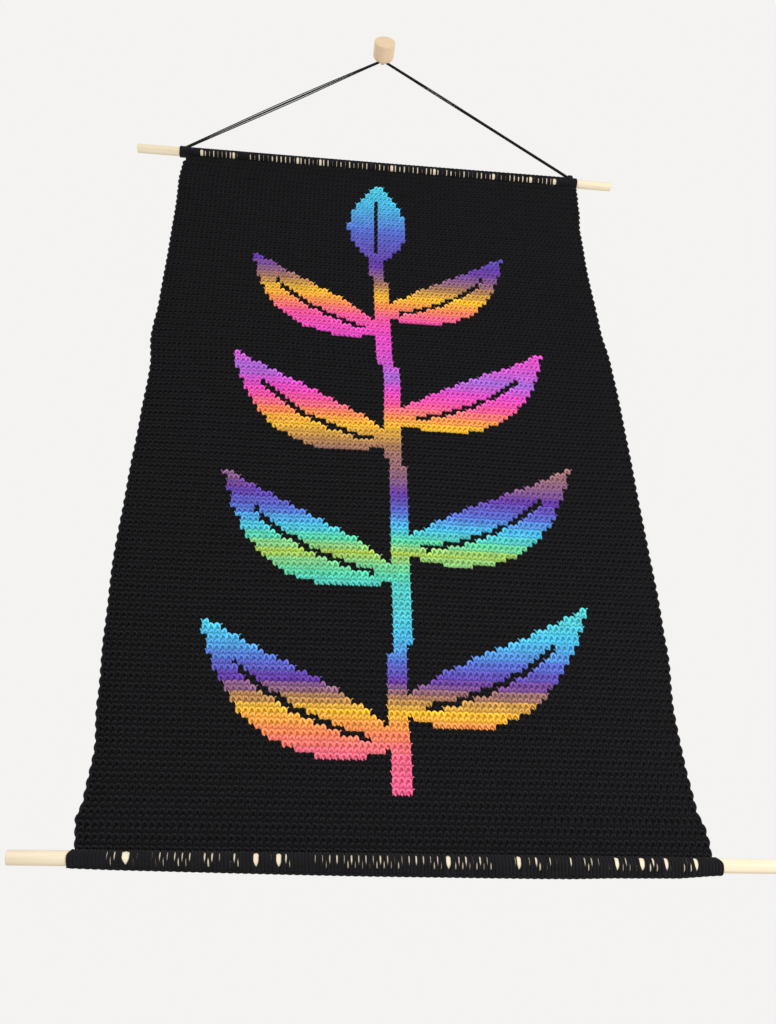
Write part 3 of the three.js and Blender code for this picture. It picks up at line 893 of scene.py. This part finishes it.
# %% Strokes under the design
STROKE_FROM, STROKE_TO = (0.20, 0.10), (0.55, -0.10)  # part of a stitch, part of a rib
STROKE_RADIUS = (0.85, 0.6)
STROKE_PROUD = 0.3
strokes = []
for row, column in np.argwhere(hanging):
    share = np.linspace(0, 1, 4)
    across, up = (a + (b - a) * share for a, b in zip(STROKE_FROM, STROKE_TO))
    height = np.maximum(CLOTH_LOW + (row // 2 + LOOP_LOW[row % 2] + up) * RIB, LOOPS_FROM)
    depth = LOOP_FRONT[row % 2] - STROKE_PROUD * (1 - share)
    points = cloth_place(height, (column + across) / STITCHES, depth)
    radius = STROKE_RADIUS[0] + (STROKE_RADIUS[1] - STROKE_RADIUS[0]) * share
    stroke = one_strand(points, radius)
    stroke["dye_and_painted_light"] = dye_of(np.full(len(share), float(stitch_number[row, column])))
    strokes.append(stroke)
mesh = strand_mesh("strokes under the design", strokes, YARN_SIDES, rainbow_yarn)
piece("strokes_under_design", mesh, "black_yarn")
print(len(strokes), "strokes")

# %% [markdown]
# Along each side the yarn turns from one row up to the next. The turns make the small round bumps
# that give a crochet edge its scallops, one for each rib.

# %% Turns at the side edges
TURN_RADIUS = 1.15
TURN_DEPTH = 1.3
TURN_START, TURN_SPAN = -0.12, 0.98  # parts of a rib
TURN_FRONT, TURN_BACK = -0.7, 0.5  # mm from the middle of the cloth
TURN_SIDES = 5
turns = []
for rib in range(RIBS):
    for edge in (0, 1):
        s = np.linspace(0, 1, 7)
        height = np.clip(CLOTH_LOW + (rib + TURN_START + TURN_SPAN * s) * RIB, LOOPS_FROM, LOOPS_TO)
        bulge = np.sin(math.pi * s) ** 0.5
        inward = TURN_RADIUS * 0.9 + TURN_DEPTH * (1 - bulge)
        depth = TURN_FRONT + (TURN_BACK - TURN_FRONT) * s
        points = cloth_place(height, np.full(len(s), float(edge)), depth)
        points[:, 0] += inward if edge == 0 else -inward
        turns.append(one_strand(points, TURN_RADIUS * chance.uniform(0.92, 1.08)))
mesh = strand_mesh("turns at the edges", turns, TURN_SIDES, black_yarn)
piece("edge_turns", mesh, "black_yarn")
print(len(turns), "turns")

# %% [markdown]
# The first and the last row are worked round the dowels. Each stitch there is a pair of strands
# that goes round the wood, and narrow slits between the strands let the wood show. At the top the
# slits are short upright bars. At the bottom some are wedges that taper downwards and others are
# thin curved lines near the lower edge. A few are wide, and in some stretches the yarn lies close.
# Each slit has a place, a width and a shape round the dowel, and the strands fill what is between.
# Angles are degrees up from straight out to the front.

# %% Slits in the wrapped rows
# place and width of the wide slits, from the middle of the panel, as in the solids
WIDE_SLITS = {
    "top": [
        (-223.2, 3.6), (-184.3, 3.0), (-105.6, 3.2), (-77.6, 3.0), (11.8, 3.6),
        (65.8, 3.4), (141.4, 3.4), (189.4, 3.8), (220.4, 4.3),
    ],
    "bottom": [
        (-207.2, 5.4), (-112.4, 3.9), (-95.6, 3.8), (32.1, 3.6), (86.5, 3.2),
        (163.4, 3.2), (183.4, 4.0), (202.8, 3.0), (226.8, 3.1),
    ],
}
# stretches of the top row where no wood shows
CLOSE_STRETCHES = [(-178.0, -165.0), (229.0, 241.0), (-241.0, -226.0)]
# the bottom row's narrow slits, one digit for each stitch from the left, 0 where none shows
UPPER_SLITS = "0000023011" "0132333044" "2040000104" "0002234243" "3243123432" "3003414200" "0202503104"
UPPER_SLITS += "0332000300" "0500001000" "00"
LOWER_SLITS = "0000020010" "0120320040" "0130000322" "0000200322" "1332300003" "2033232300" "0000410000"
LOWER_SLITS += "0300142210" "4331033000" "00"
SLIT_UNIT = 0.32  # mm of width for 1 in a chart
SLIT_SHIFT = 14.0  # degrees that the slits lie lower in the middle of the bottom row
SLIT_CLEAR = 1.2  # mm of yarn beside a wide slit
UPPER_PLACE, LOWER_PLACE = 0.4, 0.9  # of a stitch
LEG = 2.72  # mm along the top dowel, two legs to a stitch
NARROW, BROAD = 0.3, 1.6  # mm, the widths that the top row's slits lie between
LONG_BARS = 0.6  # share of the bars that reach higher up the dowel
ROW_ENDS = {"top": (-240.8, 240.8), "bottom": (-249.6, 248.6)}  # from the middle of the panel


def eased(x, low, high):
    t = np.clip((x - low) / (high - low), 0, 1)
    return t * t * (3 - 2 * t)


# where each shape starts and ends to open and to close, in degrees, and how fast it opens
OPENINGS = {
    "bar": (-98, -88, -14, -3, 1),
    "short bar": (-86, -76, -27, -14, 1),
    "wide bar": (-94, -84, -8, 4, 1),
    "wedge": (-44, 10, 45, 58, 1),
    "wide wedge": (-66, 0, 50, 62, 0.6),
    "thin": (-84, -66, -22, 18, 1),
}


def opening(shape, angle):
    """How open a slit of a shape is at an angle, from 0 to 1."""
    if shape == "closed":
        return np.zeros_like(angle)
    start, opened, full, end, power = OPENINGS[shape]
    return eased(angle, start, opened) ** power * (1 - eased(angle, full, end))


def even_slits(start, end):
    """The top row: upright bars, one for each stitch, evenly spaced between the wide ones."""
    found = [(start, 0.0, "closed")]
    ends = [(start, 0.0), *WIDE_SLITS["top"], (end, 0.0)]
    for (a, width_a), (b, width_b) in zip(ends, ends[1:]):
        low, high = a + width_a / 2, b - width_b / 2
        count = max(2, 2 * round((high - low) / (2 * LEG)))
        for k in range(1, count):
            place = low + (high - low) * k / count
            close = k % 2 == 0 or any(u <= place <= v for u, v in CLOSE_STRETCHES)
            shape = "bar" if chance.uniform() < LONG_BARS else "short bar"
            found.append((place, 0.0 if close else chance.uniform(NARROW, BROAD), shape))
        found.append((b, width_b, "wide bar"))
    return found


def charted_slits(start, end):
    """The bottom row: wedges and thin lines from the two charts, and the wide ones."""
    wide = WIDE_SLITS["bottom"]
    found = [(place, width, "wide wedge") for place, width in wide]
    for line, share, shape in ((UPPER_SLITS, UPPER_PLACE, "wedge"), (LOWER_SLITS, LOWER_PLACE, "thin")):
        for k, digit in enumerate(line):
            place = -PANEL_HALF + (k + share) * STITCH
            if start < place < end and all(abs(place - p) > w / 2 + SLIT_CLEAR for p, w in wide):
                found.append((place, int(digit) * SLIT_UNIT, shape))
    return [(start, 0.0, "closed"), *sorted(found), (end, 0.0, "closed")]


slits = {"top": even_slits(*ROW_ENDS["top"]), "bottom": charted_slits(*ROW_ENDS["bottom"])}
for row, found in slits.items():
    print(len(found) - 1, "strands round the", row, "dowel")

# %% Strands round the dowels
WRAP_ANGLES = np.array(
    [
        -104, -94, -86, -78, -70, -62, -50, -38, -26, -14, 0, 14, 28, 42, 54, 66,
        88, 110, 132, 154, 178, 202, 228, 256.0,
    ]
)
WRAP_LINE = ROD_RADIUS + 0.45  # radius of the middle of a strand
WRAP_THICK = 0.55
WRAP_OVERLAP = 1.04  # of a strand's width, so that neighbours touch
WRAP_UNEVEN = 0.08
WRAP_SIDES = 6
ROW_Z = {"top": TOP_ROD[1], "bottom": BOTTOM_ROD[1]}
ROW_LEAN = {"top": 0.3, "bottom": 0.5}  # mm that a strand drifts to the right under the dowel
# where the ends of a row are drawn in above the dowel: edge, reach along the dowel, pull
DRAWN_IN = {"top": [], "bottom": [(-250.0, 16.0, 3.0), (250.0, 22.0, 4.0)]}
CHAIN_ANGLE = {"top": 12.0, "bottom": -86.0}
CHAIN_SPREAD = 9.0  # degrees of the dowel over which the yarn rises to its chain edge
# how far the chain edge of each row stands off the dowel: place, size
CHAIN_SAG = {
    "top": [(-250, -0.4), (0, 0.0), (250, 1.0)],
    "bottom": [
        (-250, 0.6), (-216, 1.6), (-153, 2.6), (-91, 3.6), (-28, 4.3), (97, 4.8),
        (128, 4.7), (160, 3.8), (213, 3.4), (240, 1.3), (250, 0.8),
    ],
}


def sag_at(x, row):
    return np.interp(x, *zip(*CHAIN_SAG[row]))


def round_dowel(x, turn, line, z):
    """Points at a distance from a dowel's middle, for angles up from the front, and their way out."""
    points = np.stack([x, CLOTH_Y - line * np.cos(turn), z + line * np.sin(turn)], 1)
    return points, np.stack([np.zeros_like(turn), -np.cos(turn), np.sin(turn)], 1)


def wrapped_row(row):
    """Strands between neighbouring slits, each once round the dowel."""
    strands = []
    turn = np.radians(WRAP_ANGLES)
    at_chain = np.exp(-(((WRAP_ANGLES - CHAIN_ANGLE[row]) / CHAIN_SPREAD) ** 2))
    unsagged = 1 - eased(at_chain, 0.05, 0.3)  # the slits end where the yarn leaves the wood
    for (a, width_a, shape_a), (b, width_b, shape_b) in zip(slits[row], slits[row][1:]):
        shift = SLIT_SHIFT * (1 - (a / PANEL_HALF) ** 2) if row == "bottom" else 0.0
        left = a + width_a / 2 * opening(shape_a, WRAP_ANGLES + shift) * unsagged
        right = b - width_b / 2 * opening(shape_b, WRAP_ANGLES + shift) * unsagged
        middle, half = (left + right) / 2, (right - left) / 2
        middle = middle + ROW_LEAN[row] * np.clip(-np.sin(turn), 0, 1) ** 2
        for edge, reach, pull in DRAWN_IN[row]:
            share = max(0.0, 1 - abs(middle[0] - edge) / reach)
            middle = middle - math.copysign(pull, edge) * share * eased(np.sin(turn), -0.1, 1.0)
        line = WRAP_LINE + chance.uniform(-WRAP_UNEVEN, WRAP_UNEVEN) + sag_at(middle, row) * at_chain
        points, out = round_dowel(CLOTH_X + middle, turn, line, ROW_Z[row])
        strands.append(one_strand(points, half * WRAP_OVERLAP, WRAP_THICK, out))
    return strand_mesh(f"row round the {row} dowel", strands, WRAP_SIDES, black_yarn)


for row in ("top", "bottom"):
    piece(f"{row}_wrapped_row", wrapped_row(row), "black_yarn")
print("rows round the dowels done")

# %% [markdown]
# The outer edge of both rows is a chain: the tops of the stitches lie over each other like links
# in a plait. Two wavy strands that cross once for each stitch give that edge. It lies on the front
# of the top dowel and under the bottom one, where its middle hangs a few millimetres lower.

# %% Chain edges
CHAIN_STITCH = 5.45
CHAIN_RINGS = 4
CHAIN_RADIUS = 0.62
CHAIN_SWING = 7.0  # degrees
CHAIN_STEP = 0.25  # mm that one strand lies over or under the other
CHAIN_ENDS = {"top": (-240.0, 240.0), "bottom": (-249.0, 248.0)}  # from the middle of the panel


def chain_edge(row):
    """Two crossing strands along the dowel, at the angle of the row's edge."""
    start, end = CHAIN_ENDS[row]
    count = round((end - start) / CHAIN_STITCH)
    t = np.linspace(0, count, count * CHAIN_RINGS + 1)
    x = start + (end - start) * t / count
    strands = []
    for phase in (0, math.pi):
        swing = np.sin(math.pi * t + phase)
        over = np.cos(math.pi * t + phase)
        turn = np.radians(CHAIN_ANGLE[row] + CHAIN_SWING * swing)
        line = WRAP_RADIUS - CHAIN_RADIUS + CHAIN_STEP * over + sag_at(x, row)
        points, out = round_dowel(CLOTH_X + x, turn, line, ROW_Z[row])
        strands.append(one_strand(points, CHAIN_RADIUS, out=out))
    return strand_mesh(f"chain edge at the {row}", strands, YARN_SIDES, black_yarn)


for row in ("top", "bottom"):
    piece(f"{row}_chain_edge", chain_edge(row), "black_yarn")
print("chain edges done")

# %% [markdown]
# The cord ends in a tie at each end of the top dowel: a few close turns of the doubled yarn round
# the wood, with a knot on top where the cord leaves.

# %% Ties
TIE_TURNS, TIE_RINGS, TIE_SIDES = 6, 22, 8
TIE_YARN = 1.2  # half the width of a turn, which is a doubled yarn
TIE_THICK = 0.75
TIE_LINE, TIE_UNEVEN = ROD_RADIUS + TIE_THICK, 0.08
KNOT_TILTS, KNOT_RINGS = (-58, 0, 58), 15  # degrees
KNOT_WIDE, KNOT_HIGH, KNOT_YARN = 1.7, 1.6, 0.95  # of a knot of size 1
# x from the middle of the tie, towards the panel; height above the middle of the dowel; size
LEFT_KNOT = (1.8, 6.6, 1.0)
RIGHT_KNOT = (2.2, 10.0, 1.9)


def knot_strands(middle, size):
    """Three small rings of yarn that cross each other."""
    strands = []
    for tilt in KNOT_TILTS:
        a = np.linspace(0, 2 * math.pi, KNOT_RINGS)
        lay = math.radians(tilt)
        across = KNOT_WIDE * np.cos(a)
        ring = np.stack([across * math.cos(lay), across * math.sin(lay), KNOT_HIGH * np.sin(a)], 1)
        strands.append(one_strand(middle + size * ring, KNOT_YARN * size, out=unit(ring)))
    return strands


def tie(name, node, outward, knot):
    middle = CLOTH_X + outward * (PANEL_HALF - TIE_LENGTH / 2)
    turn = np.linspace(0, 2 * math.pi * TIE_TURNS, TIE_RINGS * TIE_TURNS)
    # the first and the last turn lie straight round the dowel, and the others step along it
    share = np.clip((turn / (2 * math.pi) - 1) / (TIE_TURNS - 2), 0, 1)
    x = middle + (share - 0.5) * (TIE_LENGTH - 2 * TIE_YARN)
    line = TIE_LINE + TIE_UNEVEN * np.sin(3 * turn)
    points, out = round_dowel(x, turn, line, TOP_ROD[1])
    strands = [one_strand(points, TIE_YARN, TIE_THICK, out)]
    inward, height, size = knot
    strands += knot_strands(np.array([middle - outward * inward, CLOTH_Y, TOP_ROD[1] + height]), size)
    return piece(name, strand_mesh(name, strands, TIE_SIDES, black_yarn), "black_yarn", node)


tie("left_tie", "tie_left", -1, LEFT_KNOT)
tie("right_tie", "tie_right", 1, RIGHT_KNOT)
print("ties done")

# %% [markdown]
# The cloth is one hung sheet, worked to 500 mm by 854 mm, and the rows of
# stitches, the wrapped rows and the edges are pieces of that sheet.

total = sum(made_triangles.values())
print("triangles in all:", total, "largest piece:", max(made_triangles.values()))

# %% [markdown]
# The studio is plain: a pale floor well below the hanging, a pale surround that lights it evenly, a
# large soft lamp at the upper left like a window, and a smaller, nearer one at the lower right that
# keeps the shaded sides readable.

# %% Floor, surround and lamps
FLOOR_Z, FLOOR_SIZE = -2.4, 12  # metres
SURROUND = "#f4f3f2"


def floor_material():
    material, tree = new_material("plain pale floor")
    finish = {"Base Color": (*linear("#e9e7e4"), 1), "Roughness": 0.8}
    shader = add(tree, "ShaderNodeBsdfPrincipled", finish)
    add(tree, "ShaderNodeOutputMaterial", {"Surface": shader})
    return material


bpy.ops.mesh.primitive_plane_add(size=FLOOR_SIZE, location=(0, 0, FLOOR_Z))
floor = bpy.context.object
floor.name = "floor"
floor.data.materials.append(floor_material())

world = bpy.data.worlds.new("pale surround")
world.use_nodes = True
background = world.node_tree.nodes["Background"]
background.inputs["Color"].default_value = (*linear(SURROUND), 1)
background.inputs["Strength"].default_value = 1.0
bpy.context.scene.world = world


def soft_lamp(name, place, aim, size, power):
    """A square lamp. place, aim and size are in metres, power in watts."""
    lamp = bpy.data.lights.new(name, "AREA")
    lamp.size = size
    lamp.energy = power
    lamp_object = bpy.data.objects.new(name, lamp)
    lamp_object.location = place
    toward = Vector(aim) - Vector(place)
    lamp_object.rotation_euler = toward.to_track_quat("-Z", "Y").to_euler()
    bpy.context.collection.objects.link(lamp_object)
    return lamp_object


MIDDLE = (0, 0, -0.65)
soft_lamp("window light", (-1.9, -1.5, 0.6), aim=MIDDLE, size=1.6, power=12)
soft_lamp("fill light", (1.1, -1.2, -1.2), aim=(0.15, 0, -0.95), size=0.9, power=20)
bpy.context.scene.view_settings.view_transform = "Standard"
print("lamps set")
